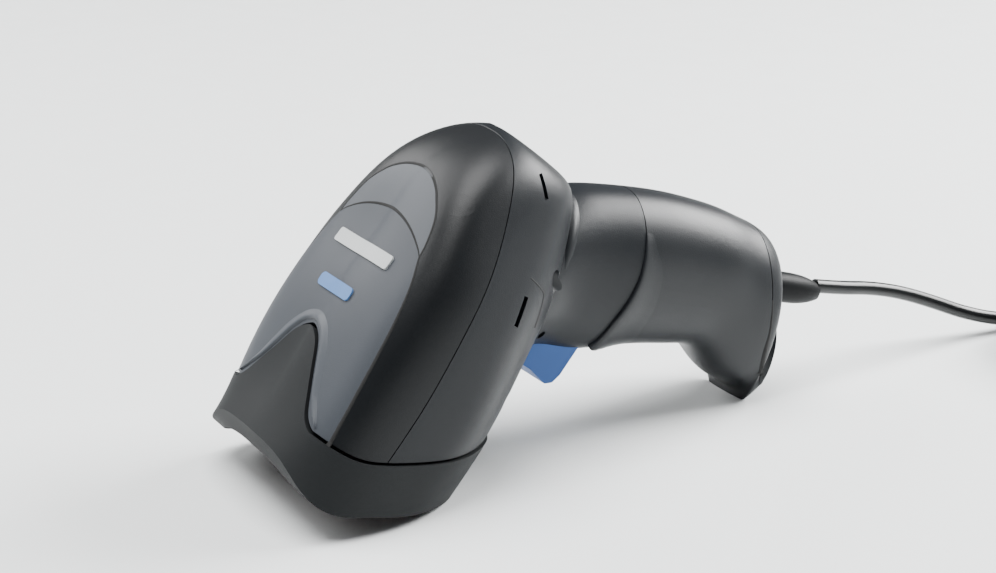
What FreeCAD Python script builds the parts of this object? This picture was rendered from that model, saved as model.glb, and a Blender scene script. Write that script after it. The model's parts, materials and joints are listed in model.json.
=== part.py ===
"""Handheld barcode scanner, lying face down on a table.

Three frames are used, all turned about the scanner's own Y axis:
- the head frame: Z runs back along the top of the head from the nose rim, X runs down towards the belly;
- the handle frame: Z runs down the handle towards the butt, X runs forwards towards the trigger finger;
- the table frame, in which every piece is written: Z up, the table at 0, the nose towards -X.
All sizes are in millimetres and degrees.
"""
import FreeCAD, Part
import math
import os

import Sketcher
from FreeCAD import Placement, Rotation, Vector

DIMENSIONS = [
    # alias, value, what it is
    ("lean", 41.6, "turn of the head frame from the table frame"),
    ("handle_tilt", 25.0, "how far the handle leans back from square to the head"),
    ("rim_height", 22.6, "height of the head frame's origin, at the nose rim, above the table"),
    ("rim_reach", 83.38, "distance of the head frame's origin in front of the table frame's"),
    ("wall", 2.2, "wall of the moulded shells"),
    ("shell_gap", 0.3, "gap between neighbouring shells"),
    ("nose_wall", 3.6, "wall of the rubber nose"),
    ("nose_gap", 0.9, "groove behind the rubber nose"),
    ("nose_swell", 0.7, "how far the rubber nose stands proud of the housing"),
    ("inlay", 1.4, "thickness of the panel and of the light lens let into the top cover"),
    ("window_thickness", 1.8, "scan window"),
    ("window_depth", 17.0, "distance of the middle of the window behind the nose rim"),
    ("badge_thickness", 0.5, "generic badges on the panel"),
    ("chassis_width", 34.0, "imager chassis, side to side"),
    ("chassis_height", 22.0, "imager chassis, crown to belly"),
    ("chassis_length", 20.0, "imager chassis, front to back"),
    ("chassis_front", 46.0, "front face of the imager chassis behind the nose rim"),
    ("lens_axis", 27.0, "depth of the lens axis below the crown"),
    ("barrel_radius", 5.5, "lens barrel in the chassis"),
    ("barrel_length", 12.0, "lens barrel behind its rim"),
    ("barrel_rim_radius", 7.0, "front rim of the lens barrel"),
    ("barrel_rim_length", 3.0, "front rim of the lens barrel"),
    ("lens_radius", 4.0, "lens glass"),
    ("lens_thickness", 1.6, "lens glass"),
    ("board_thickness", 1.2, "small circuit boards"),
    ("light_board_width", 38.0, "board of the illumination lamps"),
    ("light_board_height", 27.0, "board of the illumination lamps"),
    ("sensor_board_width", 30.0, "board behind the imager"),
    ("sensor_board_height", 24.0, "board behind the imager"),
    ("sensor_size", 7.0, "image sensor, square"),
    ("sensor_thickness", 1.5, "image sensor"),
    ("status_board_width", 14.0, "board under the light lens"),
    ("status_board_length", 10.0, "board under the light lens"),
    ("connector_depth", 2.5, "ribbon connector on the main board"),
    ("connector_width", 12.0, "ribbon connector on the main board"),
    ("lamp_size", 4.0, "illumination lamp, square"),
    ("lamp_length", 2.0, "illumination lamp, front to back"),
    ("aimer_radius", 2.6, "aimer lens"),
    ("aimer_length", 4.0, "aimer lens"),
    ("main_board_length", 48.0, "main board, along the handle"),
    ("main_board_width", 22.0, "main board"),
    ("main_board_thickness", 1.6, "main board"),
    ("jack_width", 13.0, "cable jack"),
    ("jack_depth", 11.0, "cable jack"),
    ("jack_length", 14.0, "cable jack, along the handle"),
    ("plug_width", 9.6, "modular plug"),
    ("plug_depth", 6.6, "modular plug"),
    ("plug_length", 12.7, "modular plug"),
    ("trigger_width", 13.0, "trigger blade, side to side"),
    ("pin_radius", 1.25, "trigger pin"),
    ("pin_length", 21.0, "trigger pin"),
    ("pin_clearance", 0.06, "running gap round the trigger pin"),
    ("switch_width", 12.8, "trigger switch, side to side"),
    ("switch_height", 6.5, "trigger switch"),
    ("switch_length", 5.8, "trigger switch, front to back"),
    ("plunger_radius", 1.2, "plunger of the trigger switch"),
    ("plunger_length", 5.0, "plunger of the trigger switch"),
    ("spring_radius", 2.0, "trigger return spring, to the middle of its wire"),
    ("spring_wire", 0.45, "wire of the trigger return spring"),
    ("spring_length", 8.2, "trigger return spring"),
    ("beeper_radius", 6.0, "beeper"),
    ("beeper_length", 4.5, "beeper"),
    ("screw_radius", 1.25, "shank of a housing screw"),
    ("screw_head_radius", 2.4, "head of a housing screw"),
    ("screw_head_length", 1.6, "head of a housing screw"),
    ("screw_length", 7.0, "shank of a housing screw"),
    ("cord_diameter", 4.2, "cord"),
    ("coil_radius", 24.5, "middle of the turns of the cord coil"),
    ("coil_width", 17.2, "cord coil, across its turns"),
    ("coil_height", 17.4, "cord coil, bottom to top"),
    ("tie_wall", 0.8, "strap that ties the coil"),
    ("tie_width", 9.0, "strap that ties the coil"),
    ("boot_width", 8.6, "cable boot at the butt"),
    ("boot_end_width", 6.0, "cable boot at its free end"),
    ("boot_length", 26.2, "cable boot"),
    ("grip_length", 24.0, "moulded grip of the computer plug"),
    ("grip_width", 15.0, "moulded grip of the computer plug"),
    ("grip_height", 8.0, "moulded grip of the computer plug"),
    ("shield_length", 18.0, "metal shield of the computer plug"),
    ("shield_width", 12.0, "metal shield of the computer plug"),
    ("shield_height", 4.5, "metal shield of the computer plug"),
    ("shield_wall", 0.35, "sheet of the metal shield"),
]

# Cross-sections of the head, front to back, in the head frame: distance behind the rim, depth of the crown,
# depth of the widest line, depth of the belly, half-width, and how square the crown side is.
HEAD_SECTIONS = [
    (-10, 3.1, 28.0, 57.0, 34.6, 2.8),
    (2, 3.1, 28.0, 57.0, 34.8, 2.8),
    (16, 3.1, 28.0, 57.0, 34.8, 4.2),
    (36, 0.5, 27.5, 55.6, 35.0, 4.4),
    (58, 0.2, 23.0, 52.6, 33.6, 4.4),
    (76, -0.4, 22.8, 49.6, 28.2, 4.1),
    (88, 2.0, 23.2, 44.6, 24.2, 3.4),
    (96, 6.6, 25.0, 40.2, 20.4, 3.0),
    (101.5, 11.0, 24.5, 36.0, 9.0, 2.6),
]
# Cross-sections of the handle, head to butt, in the handle frame:
# distance along the handle, back edge, front edge, half-width.
HANDLE_SECTIONS = [
    (62, -66.0, -32.0, 18.4),
    (76, -72.6, -29.5, 18.2),
    (88, -75.9, -29.8, 16.6),
    (100, -76.8, -31.3, 16.4),
    (112, -77.1, -33.5, 16.4),
    (124, -76.4, -34.8, 16.5),
    (133, -75.3, -34.5, 16.6),
    (141, -73.6, -28.8, 16.6),
    (148, -71.4, -25.7, 16.8),
    (152.7, -64.7, -23.2, 15.6),
    (155.7, -51.6, -22.0, 14.0),
]
SECTION_POWER = 2.2
SECTION_POINTS = 20

# Edge of the nose rim, seen from the side: depth below the crown, distance behind the rim.
RIM_LINE = [
    (-4, 1.5), (3.1, -0.3), (7.4, -3.6), (12.1, -5.2), (16.4, -4.7), (22.5, -1.7), (33, 3.9), (47.4, 12.9),
    (64, 22.6),
]
# Rear edge of the rubber nose, seen from the side and, over the crown, from above.
NOSE_LINE = [(-6, 9.0), (9.4, 9.0), (14.9, 10.2), (20, 12.6), (44.4, 28.1), (50, 32.4), (66, 35.5)]
NOSE_PEAK = [
    (-24, 8.2), (-21.5, 9.0), (-18.6, 10.8), (-15.7, 14.6), (-12.6, 19.4), (-9.3, 24.7), (-6.2, 28.6),
    (-3.2, 30.3), (0, 31),
]
# Seam between the top cover and the lower housing, seen from the side.
COVER_SEAM = [
    (20.8, 6), (20.5, 14), (19.7, 31), (18.2, 44), (17.1, 54), (16.0, 67.6), (14.3, 78.2), (12.3, 86.4),
    (10.7, 92.7), (9.8, 97), (9.2, 101.5), (8.2, 112),
]
# Panel and light lens in the top cover, seen from above: half-width, distance behind the rim.
PANEL_SIDE = [(28.2, 5), (28.6, 13), (28.8, 22), (28.6, 35), (27.4, 45), (25.4, 53.4), (22.2, 60.4)]
PANEL_ARC = [(22.2, 60.4), (19.8, 62.2), (13.8, 65.2), (7.2, 67.1), (0, 67.8)]
LENS_ARC = [
    (22.2, 60.4), (21.4, 64.6), (18.8, 71.0), (14.4, 75.8), (10.2, 78.6), (5.5, 80.4), (0, 81.1),
]

# Route of the cord on the table, from the boot to the coil, in the table frame.
CORD_ROUTE = [
    (101.3, 0.0, 26.9),
    (111.0, -0.2, 24.6),
    (122.5, 0.4, 22.4),
    (134.5, 0.5, 18.9),
    (147.0, 0.0, 13.8),
    (159.5, -1.1, 8.1),
    (172.0, -2.6, 4.1),
    (184.0, -4.4, 2.6),
    (196.3, -5.7, 2.9),
]
COIL_CENTRE = (199.0, -36.5)
# From the top of the coil down to the computer plug on the table.
TAIL_ROUTE = [
    (202.2, -5.7, 15.8),
    (212.5, -6.9, 14.9),
    (222.5, -9.9, 12.0),
    (231.8, -14.4, 8.2),
    (240.2, -20.2, 5.3),
    (248.0, -26.6, 4.6),
]

doc = FreeCAD.newDocument("BarcodeScanner")
sheet = doc.addObject("Spreadsheet::Sheet", "Dimensions")
for line, (alias, value, note) in enumerate(DIMENSIONS, start=1):
    sheet.set(f"A{line}", note)
    sheet.set(f"B{line}", str(value))
    sheet.setAlias(f"B{line}", alias)
doc.recompute()

PARTS = []
SIDE = Vector(0, 1, 0)


def dim(alias):
    """Value of a cell of the dimension sheet."""
    return float(sheet.get(alias))


REST = Placement(Vector(-dim("rim_reach"), 0, dim("rim_height")), Rotation(SIDE, dim("lean")))
HANDLE = Placement(Vector(), Rotation(SIDE, 90 - dim("handle_tilt")))


def at(x, y, z, turn=None):
    """Placement of a piece that is placed in the head frame."""
    return REST.multiply(Placement(Vector(x, y, z), turn or Rotation()))


def on_handle(x, y, z, turn=None):
    """Placement of a piece that is placed in the handle frame."""
    return REST.multiply(HANDLE).multiply(Placement(Vector(x, y, z), turn or Rotation()))


def keep(piece, label, placement=None):
    """Names a finished sub-part and puts it in its place on the table."""
    piece.Label = label
    if placement is not None:
        piece.Placement = placement
    PARTS.append(piece)
    return piece


def moulding(label, shape, placement=None):
    """A free-form sub-part whose shape is worked out from the sheet."""
    piece = doc.addObject("Part::Feature", label)
    piece.Shape = shape
    return keep(piece, label, placement or REST)


def bind(piece, **sizes):
    """Ties properties of a piece to expressions in the dimension sheet."""
    for name, formula in sizes.items():
        piece.setExpression(name.replace("__", "."), formula)
    return piece


# ---------------------------------------------------------------- free-form shapes


def closed_section(back, widest, front, half_width, level, back_power=SECTION_POWER):
    """Closed smooth outline of a section: two superellipse halves that meet at the widest line."""
    points = []
    for index in range(SECTION_POINTS):
        angle = 2 * math.pi * index / SECTION_POINTS
        across = math.sin(angle)
        along = math.cos(angle)
        reach, power = (widest - back, back_power) if along >= 0 else (front - widest, SECTION_POWER)
        y = half_width * math.copysign(abs(across) ** (2 / power), across)
        x = widest - reach * math.copysign(abs(along) ** (2 / power), along)
        points.append(Vector(x, y, level))
    curve = Part.BSplineCurve()
    curve.interpolate(Points=points, PeriodicFlag=True)
    return Part.Wire(curve.toShape())


def head_form(inset, tail_inset=None):
    """Solid of the head's outer shape, drawn in on all sides."""
    tail_inset = inset if tail_inset is None else tail_inset
    wires = []
    for level, crown, widest, belly, half_width, power in HEAD_SECTIONS:
        place = level - tail_inset if level > 60 else level
        wires.append(closed_section(crown + inset, widest, belly - inset, half_width - inset, place, power))
    return Part.makeLoft(wires, True, False)


def handle_form(inset):
    """Solid of the handle's outer shape in the head frame, drawn in on all sides."""
    wires = []
    for level, back, front, half_width in HANDLE_SECTIONS:
        middle = (back + front) / 2
        wires.append(closed_section(back + inset, middle, front - inset, half_width - inset, level))
    form = Part.makeLoft(wires, True, False)
    form.Placement = HANDLE
    return form


def smooth(points):
    """Smooth curve through points."""
    curve = Part.BSplineCurve()
    curve.interpolate(Points=points)
    return curve.toShape()


def side_block(line, corners, half_width=60.0):
    """Block bounded by a smooth line drawn in side view and by straight lines through the corners."""
    edge = smooth([Vector(x, -half_width, z) for x, z in line])
    points = [Vector(x, -half_width, z) for x, z in [line[-1]] + corners + [line[0]]]
    face = Part.Face(Part.Wire([edge] + [Part.makeLine(a, b) for a, b in zip(points, points[1:])]))
    return face.extrude(Vector(0, 2 * half_width, 0))


def crown_block(outline, top, bottom):
    """Block over a closed outline of edges drawn from above."""
    face = Part.Face(Part.Wire(outline))
    face.translate(Vector(top, 0, 0))
    return face.extrude(Vector(bottom - top, 0, 0))


def mirrored(points):
    """Half of a symmetric line and its mirror image, as one line."""
    return [(-y, z) for y, z in points] + [(y, z) for y, z in reversed(points[:-1])]


def crown_curve(points):
    """Smooth curve drawn from above."""
    return smooth([Vector(0, y, z) for y, z in points])


def crown_line(start, end):
    """Straight edge drawn from above."""
    return Part.makeLine(Vector(0, *start), Vector(0, *end))


def biggest(shape):
    """Largest solid of a shape, without any crumbs a cut has left."""
    return max(shape.Solids, key=lambda solid: solid.Volume)


def slab(line, offset, thickness, half_width=40.0):
    """Flat plate across the head, parallel to a slanting line in side view."""
    (x1, z1), (x2, z2) = line
    points = [
        Vector(x1, -half_width, z1 + offset),
        Vector(x2, -half_width, z2 + offset),
        Vector(x2, -half_width, z2 + offset + thickness),
        Vector(x1, -half_width, z1 + offset + thickness),
    ]
    face = Part.Face(Part.makePolygon(points + points[:1]))
    return face.extrude(Vector(0, 2 * half_width, 0))


def below_table():
    """Half-space under the table, in the head frame."""
    block = Part.makeBox(400, 200, 60, Vector(-200, -100, -60))
    block.Placement = REST.inverse()
    return block


# ---------------------------------------------------------------- head and handle shells

wall = dim("wall")
gap = dim("shell_gap")

head_outside = head_form(0)
head_inside = head_form(wall)
handle_outside = handle_form(0)
HANDLE_END = HANDLE_SECTIONS[-1][0]


def handle_slice(line, far):
    """Block across the handle up to (or beyond) a line drawn in side view, in the head frame."""
    block = side_block(line, [(line[-1][0], far), (line[0][0], far)])
    block.Placement = HANDLE
    return block


BEYOND_BUTT = 190.0
# Step between the neck and the grip, and seam in front of the butt cap, seen from the side in the handle frame:
# distance from back to front, distance along the handle.
GRIP_STEP = [(-95, 100.0), (-62, 100.2), (-52, 99.6), (-44, 97.2), (-36, 95.0), (-10, 90.0)]
BUTT_SEAM = [(-95, 139.0), (-54.5, 147.5), (-45.8, 149.4), (-37, 151.6), (-28, 155.4), (-10, 163.0)]
# Thickness of the butt cap's end wall.
BUTT_FLOOR = 4.8
BOOT_CLEARANCE = 0.6
butt_bore = dim("boot_width") / 2 + BOOT_CLEARANCE

# Zones that split the outer shape into its pieces.
nose_zone = side_block(NOSE_LINE, [(66, -40), (-6, -40)])
peak = mirrored(NOSE_PEAK)
peak_corners = [peak[-1], (24, -30), (-24, -30), peak[0]]
peak_outline = [crown_curve(peak)] + [crown_line(a, b) for a, b in zip(peak_corners, peak_corners[1:])]
nose_zone = nose_zone.fuse(crown_block(peak_outline, -6, 14))
ahead_of_rim = side_block(RIM_LINE, [(64, -60), (-4, -60)])
cover_zone = side_block(COVER_SEAM, [(-40, 112), (-40, 6)])
nose_clearance = nose_zone.copy()
nose_clearance.translate(Vector(0, 0, dim("nose_gap")))
cover_clearance = cover_zone.copy()
cover_clearance.translate(Vector(gap, 0, 0))
neck_zone = handle_slice(GRIP_STEP, 40.0)
butt_zone = handle_slice(BUTT_SEAM, BEYOND_BUTT)
butt_wall = [(x, HANDLE_END - BUTT_FLOOR) for x in (-95, -50, -10)]
handle_inside = handle_form(wall).cut(handle_slice(butt_wall, BEYOND_BUTT))


def screw_places():
    """Middle of each screw that holds the top cover: side and distance behind the nose rim."""
    return [(side * y, z) for y, z in ((24.0, 44.0), (21.5, 77.0)) for side in (-1, 1)]


def post(y, z, top, bottom, radius):
    """Round post that stands across the head."""
    return Part.makeCylinder(radius, bottom - top, Vector(top, y, z), Vector(1, 0, 0))


SCREW_LEVEL = 26.0
POST_SEAM = SCREW_LEVEL - 2.0
COVER_POST_RADIUS = 3.4
HOUSING_POST_RADIUS = 4.2
SCREW_WAY_RADIUS = 2.7

# Rubber nose: a sleeve with a peak on the crown and an inner lip that plugs into the housing.
nose_body = head_form(-dim("nose_swell")).common(nose_zone).cut(head_form(dim("nose_wall")))
lip_block = Part.makeBox(90, 90, 20, Vector(-10, -45, 14))
lip_end = slab([(0, 24), (50, 52)], 0, 60)
lip = head_form(wall + 0.1).cut(head_form(dim("nose_wall"))).common(lip_block).cut(lip_end)
nose = nose_body.fuse(lip).cut(ahead_of_rim).cut(below_table())
moulding("nose_bumper", biggest(nose))

# Top cover: crown shell with screw posts and a shallow bed for the panel and the light lens.
panel_outline = [crown_curve(PANEL_SIDE), crown_curve(PANEL_ARC)]
panel_outline += [crown_curve([(-y, z) for y, z in reversed(PANEL_ARC)])]
panel_outline += [crown_curve([(-y, z) for y, z in reversed(PANEL_SIDE)])]
panel_outline += [crown_line((-PANEL_SIDE[0][0], PANEL_SIDE[0][1]), PANEL_SIDE[0])]
panel_zone = crown_block(panel_outline, -6, 16)
lens_outline = [crown_curve(PANEL_ARC), crown_curve([(-y, z) for y, z in reversed(PANEL_ARC)])]
lens_outline += [crown_curve([(-y, z) for y, z in LENS_ARC]), crown_curve(list(reversed(LENS_ARC)))]
lens_zone = crown_block(lens_outline, -6, 16)
skin = head_outside.cut(head_form(dim("inlay"), 0))
cover = head_outside.cut(head_inside)
for y, z in screw_places():
    cover = cover.fuse(post(y, z, 0, POST_SEAM - gap, COVER_POST_RADIUS).common(head_outside))
    cover = cover.cut(post(y, z, 12, SCREW_LEVEL, dim("screw_radius")))
cover = cover.common(cover_zone).cut(nose_clearance)
cover = cover.cut(skin.common(panel_zone)).cut(skin.common(lens_zone))
moulding("top_cover", biggest(cover))
panel = skin.common(panel_zone).cut(nose_clearance)
moulding("top_panel", biggest(panel))
moulding("light_lens", biggest(skin.common(lens_zone)))


# Lower housing: belly of the head and neck of the handle in one moulding.
window_half = dim("trigger_width") / 2 + 0.7
EAR = 3.0


def both_sides(make):
    """The same shape on both sides of the scanner."""
    return make(1).fuse(make(-1))


def side_box(x, z, length, depth, inner, outer):
    """Box in the head frame that starts at the near edge (x, z) and reaches from inner to outer."""
    return lambda side: Part.makeBox(
        length, outer - inner, depth, Vector(x, inner if side > 0 else -outer, z)
    )


TRIGGER_AXIS = (52.0, 64.0)
SWITCH_FACE = 75.0
RIB_FACE = 80.8
SPRING_DEPTH = 67.0

housing = head_outside.fuse(handle_outside.common(neck_zone))
housing = housing.cut(head_inside).cut(handle_inside.common(neck_zone))
for y, z in screw_places():
    housing = housing.fuse(post(y, z, POST_SEAM, 60, HOUSING_POST_RADIUS).common(head_outside))
    housing = housing.cut(post(y, z, 0, 60, dim("screw_radius")))
    housing = housing.cut(post(y, z, SCREW_LEVEL, 70, SCREW_WAY_RADIUS))
window_box = Part.makeBox(24.3, 2 * window_half, 19.2, Vector(48, -window_half, 52.5))
housing = housing.cut(window_box)
whole_form = head_outside.fuse(handle_outside)
ears = both_sides(side_box(47.5, 59.0, 11.5, 10.0, window_half, window_half + EAR)).common(whole_form)
rib = Part.makeBox(12, 60, wall, Vector(57, -30, RIB_FACE)).common(whole_form)
cradle = both_sides(side_box(38.0, 48.0, 24.0, 4.0, 11.0, 15.0)).common(head_outside)
BEEPER_PLACE = Vector(30, -25.4, 64.5)
BEEPER_SEAT_WALL = 1.2
BEEPER_SEAT_LENGTH = 12.0
beeper_seat_start = Vector(BEEPER_PLACE.x, -35, BEEPER_PLACE.z)
beeper_seat_radius = dim("beeper_radius") + BEEPER_SEAT_WALL
beeper_seat = Part.makeCylinder(beeper_seat_radius, BEEPER_SEAT_LENGTH, beeper_seat_start, SIDE)
beeper_bed = Part.makeCylinder(dim("beeper_radius"), BEEPER_SEAT_LENGTH, BEEPER_PLACE, SIDE)
housing = housing.fuse(beeper_seat.common(head_outside).cut(beeper_bed))
housing = housing.fuse(ears).fuse(rib).fuse(cradle)
pin_bore = Part.makeCylinder(dim("pin_radius"), 60, Vector(TRIGGER_AXIS[0], -30, TRIGGER_AXIS[1]), SIDE)
housing = housing.cut(pin_bore)


def slot(x, z, length, width, turn, inner, outer):
    """Cutter for a slot in the side of the housing, along Z before it is turned."""
    def make(side):
        cutter = Part.makeBox(width, outer - inner, length, Vector(-width / 2, 0, -length / 2))
        cutter.Placement = Placement(Vector(x, inner if side > 0 else -outer, z), Rotation(SIDE, turn))
        return cutter
    return make


housing = housing.cut(both_sides(slot(30.3, 64.5, 8.0, 1.5, -9, 26, 40)))
housing = housing.cut(both_sides(slot(20.5, 94.3, 6.2, 1.2, -43, 16, 34)))
housing = housing.cut(cover_clearance).cut(nose_clearance)
moulding("lower_housing", biggest(housing))

# Handle grip: sleeve from the step below the neck to the butt, with rails for the main board.
BOARD_BACK = -49.5
grip_zone = handle_slice(GRIP_STEP, BEYOND_BUTT)
grip_zone.translate(HANDLE.Rotation.multVec(Vector(0, 0, gap)))
grip = handle_outside.common(grip_zone)
grip = grip.cut(handle_inside)


def rail(side):
    """Ledge inside the grip that carries one edge of the main board."""
    ledge = Part.makeBox(3.5, 10, 30, Vector(BOARD_BACK - 3.5, 7.5 if side > 0 else -17.5, 103))
    ledge.Placement = HANDLE
    return ledge


CAP_SCREW_LINE = -34.5
CAP_SCREW_SEAT = 153.9
grip_post = Part.makeCylinder(COVER_POST_RADIUS, 13, Vector(CAP_SCREW_LINE, 0, 138))
grip_post.Placement = HANDLE
screw_bore = Part.makeCylinder(dim("screw_radius"), 12, Vector(CAP_SCREW_LINE, 0, 143))
screw_bore.Placement = HANDLE
grip = grip.fuse(both_sides(rail).common(handle_outside)).fuse(grip_post.common(handle_outside))
grip = grip.cut(screw_bore).cut(handle_slice([(x, z - gap) for x, z in BUTT_SEAM], BEYOND_BUTT))
moulding("handle_grip", biggest(grip.cut(below_table())))

# Butt cap: end of the handle with the toe that rests on the table and the way out for the cord.
CORD_LINE = -55.2
cord_way = Part.makeCylinder(butt_bore, 30, Vector(CORD_LINE, 0, 140))
cord_way.Placement = HANDLE
counterbore = Part.makeCylinder(SCREW_WAY_RADIUS, 12, Vector(CAP_SCREW_LINE, 0, CAP_SCREW_SEAT))
counterbore.Placement = HANDLE
cap = handle_outside.common(butt_zone).cut(handle_inside).cut(cord_way)
cap = cap.cut(screw_bore).cut(counterbore).cut(grip_post)
moulding("butt_cap", biggest(cap.cut(below_table())))

# Scan window across the mouth of the nose, and the seal behind it.
WINDOW_SLOPE = 0.587
WINDOW_MIDDLE = 28.0
WINDOW_REACH = 34.0
window_line = [
    (WINDOW_MIDDLE + end * WINDOW_REACH, dim("window_depth") + end * WINDOW_REACH * WINDOW_SLOPE)
    for end in (-1, 1)
]
SEAL_THICKNESS = 1.2
SEAL_WIDTH = 2.0
mouth = head_form(dim("nose_wall"))
window_slab = slab(window_line, 0, dim("window_thickness"))
seal_slab = slab(window_line, dim("window_thickness"), SEAL_THICKNESS)
moulding("scan_window", biggest(mouth.common(window_slab)))
seal = mouth.cut(head_form(dim("nose_wall") + SEAL_WIDTH)).common(seal_slab)
moulding("window_seal", biggest(seal))


def rounded_plate(half_width, first, last, corner):
    """Block over a rectangle with rounded corners, drawn from above."""
    block = Part.makeBox(20, 2 * half_width, last - first, Vector(-6, -half_width, first))
    edges = [edge for edge in block.Edges if abs(edge.Vertexes[0].X - edge.Vertexes[-1].X) > 1]
    return block.makeFillet(corner, edges)


badge_skin = head_form(-dim("badge_thickness")).cut(head_outside)
moulding("maker_badge", biggest(badge_skin.common(rounded_plate(15.0, 53.0, 57.0, 0.8))))
moulding("model_badge", biggest(badge_skin.common(rounded_plate(9.5, 40.9, 44.6, 1.4))))
label_box = Part.makeBox(30, 28, 11, Vector(40, -14, 38.5))
moulding("rating_label", biggest(head_form(-0.2).cut(head_outside).common(label_box)))


# ---------------------------------------------------------------- pieces tied to the sheet


def cell(alias):
    """Formula that reads a cell of the dimension sheet."""
    return "Dimensions." + alias


def box(name, length, width, height, corner=(0, 0, 0)):
    """Part::Box whose X, Y and Z sizes are formulas."""
    piece = doc.addObject("Part::Box", name)
    bind(piece, Length=length, Width=width, Height=height)
    piece.Placement.Base = Vector(*corner)
    return piece


def cylinder(name, radius, height, base=(0, 0, 0), axis=(0, 0, 1)):
    """Part::Cylinder whose radius and height are formulas."""
    piece = doc.addObject("Part::Cylinder", name)
    bind(piece, Radius=radius, Height=height)
    piece.Placement = Placement(Vector(*base), Rotation(Vector(0, 0, 1), Vector(*axis)))
    return piece


def cut(name, base, tool):
    """Part::Cut of two objects of the document."""
    piece = doc.addObject("Part::Cut", name)
    piece.Base = base
    piece.Tool = tool
    return piece


def group(name, pieces):
    """Several separate solids, or cutters, in one object."""
    piece = doc.addObject("Part::Compound", name)
    piece.Links = pieces
    return piece


def new_sketch(body, plane):
    """Sketch on one of the body's own origin planes."""
    sketch = body.newObject("Sketcher::SketchObject", body.Name + "Sketch")
    origin = next(item for item in body.Origin.OriginFeatures if item.Role == plane)
    sketch.AttachmentSupport = [(origin, "")]
    sketch.MapMode = "FlatFace"
    return sketch


def value_of(sketch, size):
    """Number behind a size, which is a formula or a plain number."""
    return float(sketch.evalExpression(size)) if isinstance(size, str) else float(size)


def polygon(sketch, corners):
    """Closed polygon whose corners are pairs of formulas or plain numbers."""
    count = len(corners)
    points = [Vector(value_of(sketch, across), value_of(sketch, up)) for across, up in corners]
    for index in range(count):
        sketch.addGeometry(Part.LineSegment(points[index], points[(index + 1) % count]), False)
    for index in range(count):
        sketch.addConstraint(Sketcher.Constraint("Coincident", index, 2, (index + 1) % count, 1))
    for index, corner in enumerate(corners):
        for kind, size in zip(("DistanceX", "DistanceY"), corner):
            fixed = Sketcher.Constraint(kind, -1, 1, index, 1, value_of(sketch, size))
            number = sketch.addConstraint(fixed)
            if isinstance(size, str):
                sketch.setExpression(f"Constraints[{number}]", size)


def turned(name, profile):
    """PartDesign body turned about its Z axis from a profile of (radius, height) corners."""
    body = doc.addObject("PartDesign::Body", name)
    sketch = new_sketch(body, "XZ_Plane")
    polygon(sketch, profile)
    turn = body.newObject("PartDesign::Revolution", name + "Turn")
    turn.Profile = sketch
    turn.ReferenceAxis = (sketch, ["V_Axis"])
    turn.Angle = 360
    body.Tip = turn
    return body


def padded(name, outline, plane, length):
    """PartDesign body padded to both sides of one of its origin planes."""
    body = doc.addObject("PartDesign::Body", name)
    sketch = new_sketch(body, plane)
    polygon(sketch, outline)
    pad = body.newObject("PartDesign::Pad", name + "Pad")
    pad.Profile = sketch
    pad.SideType = "Symmetric"
    bind(pad, Length=length)
    body.Tip = pad
    return body


def rounded(body, radius, chosen):
    """Rounds the edges of a PartDesign body that a test picks."""
    doc.recompute()
    tip = body.Tip
    names = [f"Edge{n}" for n, edge in enumerate(tip.Shape.Edges, start=1) if chosen(edge)]
    fillet = body.newObject("PartDesign::Fillet", body.Name + "Round")
    fillet.Base = (tip, names)
    fillet.Radius = radius
    body.Tip = fillet
    return body


def along(edge, axis):
    """Whether an edge is straight and runs along an axis."""
    straight = isinstance(edge.Curve, Part.Line)
    return straight and abs(abs(edge.tangentAt(edge.FirstParameter).dot(axis)) - 1) < 1e-6


# Imager: chassis with the lens barrel, its glass and the sensor on its board.
front = dim("chassis_front")
lens_x = dim("lens_axis")
chassis_size = [dim("chassis_height"), dim("chassis_width"), dim("chassis_length")]
chassis_block = box("ChassisBlock", cell("chassis_height"), cell("chassis_width"), cell("chassis_length"))
bore_middle = (chassis_size[0] / 2, chassis_size[1] / 2, 0)
chassis_bore = cylinder("ChassisBore", cell("barrel_radius"), cell("chassis_length"), bore_middle)
chassis = cut("Chassis", chassis_block, chassis_bore)
keep(chassis, "imager_chassis", at(lens_x - bore_middle[0], -bore_middle[1], front))
rim = cell("barrel_rim_length")
barrel_end = f"{cell('barrel_length')} + {rim}"
barrel = turned("LensBarrel", [
    (cell("lens_radius"), 0),
    (cell("barrel_rim_radius"), 0),
    (cell("barrel_rim_radius"), rim),
    (cell("barrel_radius"), rim),
    (cell("barrel_radius"), barrel_end),
    (cell("lens_radius"), barrel_end),
])
BARREL_PROUD = 5.0
keep(barrel, "lens_barrel", at(lens_x, 0, front - BARREL_PROUD))
thickness = cell("lens_thickness")
glass_radius = cell("lens_radius")
glass = turned("LensGlass", [(0, 0), (glass_radius, 0), (glass_radius, thickness), (0, thickness)])
GLASS_SUNK = 0.6
keep(glass, "lens_glass", at(lens_x, 0, front - BARREL_PROUD + GLASS_SUNK))
board = cell("board_thickness")
sensor_board = box("SensorBoard", cell("sensor_board_height"), cell("sensor_board_width"), board)
board_corner = (lens_x - dim("sensor_board_height") / 2, -dim("sensor_board_width") / 2)
keep(sensor_board, "sensor_board", at(*board_corner, front + chassis_size[2]))
sensor = box("Sensor", cell("sensor_size"), cell("sensor_size"), cell("sensor_thickness"))
half_sensor = dim("sensor_size") / 2
sensor_front = front + chassis_size[2] - dim("sensor_thickness")
keep(sensor, "image_sensor", at(lens_x - half_sensor, -half_sensor, sensor_front))

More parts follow.
